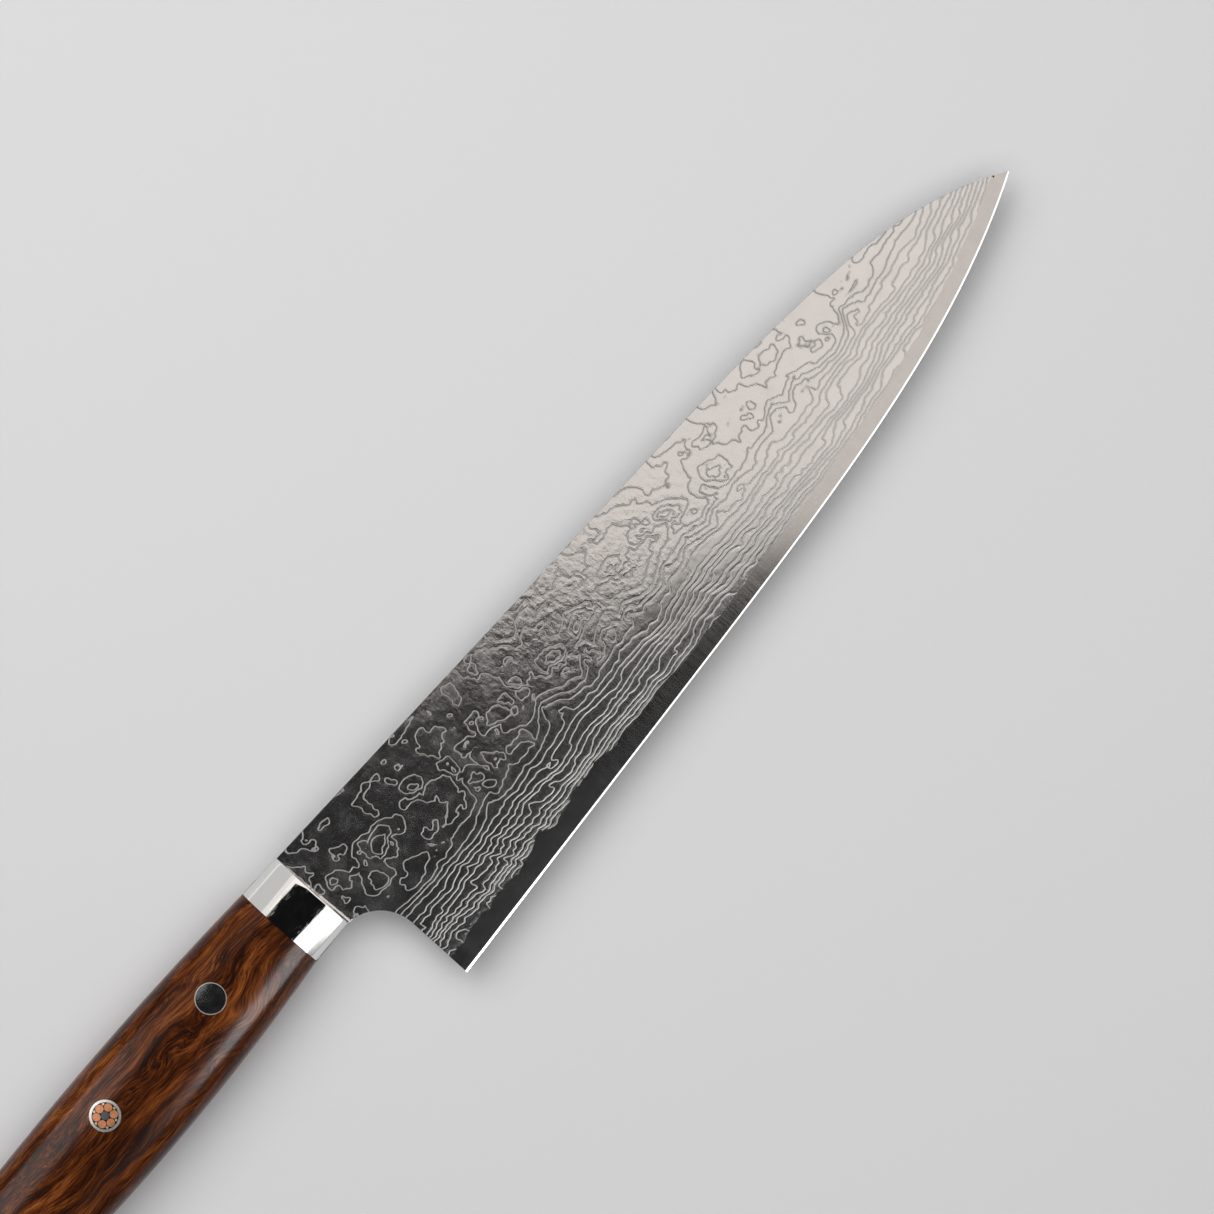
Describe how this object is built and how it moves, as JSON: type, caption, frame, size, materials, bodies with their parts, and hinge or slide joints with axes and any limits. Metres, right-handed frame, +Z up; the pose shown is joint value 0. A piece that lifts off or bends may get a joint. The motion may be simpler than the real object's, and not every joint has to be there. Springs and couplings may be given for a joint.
{
  "type": "chef knife",
  "caption": "Gyuto-pattern chef knife with a full tang, layered steel blade, polished bolster and riveted wooden handle scales with a mosaic pin.",
  "frame": {"origin": "middle of the knife's footprint as it lies on its left side, at the level of the lowest point of the handle's belly, with the blade's middle plane level", "axes": "+X along the knife from the butt to the tip, +Y from the cutting edge to the spine, +Z up through the blade's right side"},
  "size_m": [0.3366, 0.0482, 0.0186],
  "materials": {
    "edge_steel": "hardened core steel, etched grey above a bright sharpened strip",
    "etched_steel": "layered steel, polished and then etched, dark ground with light contour lines",
    "bolster_steel": "mirror-polished stainless steel with fine wear scratches",
    "dowel_steel": "plain drawn steel, hidden",
    "handle_wood": "dense dark red-brown hardwood with golden figure, oiled and buffed to a gloss",
    "pin_steel": "polished stainless steel, ground flush with the wood",
    "mosaic_steel": "dark polished steel",
    "pin_resin": "black filled epoxy, polished flush",
    "copper": "polished copper",
    "brass": "polished brass"
  },
  "bodies": {
    "root": {"core_steel": "edge_steel", "cladding_right": "etched_steel", "cladding_left": "etched_steel", "bolster_right": "bolster_steel", "bolster_left": "bolster_steel", "bolster_dowel_upper": "dowel_steel", "bolster_dowel_lower": "dowel_steel", "scale_right": "handle_wood", "scale_left": "handle_wood", "front_pin": "pin_steel", "rear_pin": "pin_steel", "mosaic_tube": "pin_steel", "mosaic_centre_rod": "mosaic_steel", "mosaic_resin": "pin_resin", "mosaic_copper_rod_1": "copper", "mosaic_copper_rod_2": "copper", "mosaic_copper_rod_3": "copper", "mosaic_copper_rod_4": "copper", "mosaic_copper_rod_5": "copper", "mosaic_copper_rod_6": "copper", "mosaic_brass_wire_1": "brass", "mosaic_brass_wire_2": "brass", "mosaic_brass_wire_3": "brass", "mosaic_brass_wire_4": "brass", "mosaic_brass_wire_5": "brass", "mosaic_brass_wire_6": "brass"}
  },
  "joints": []
}
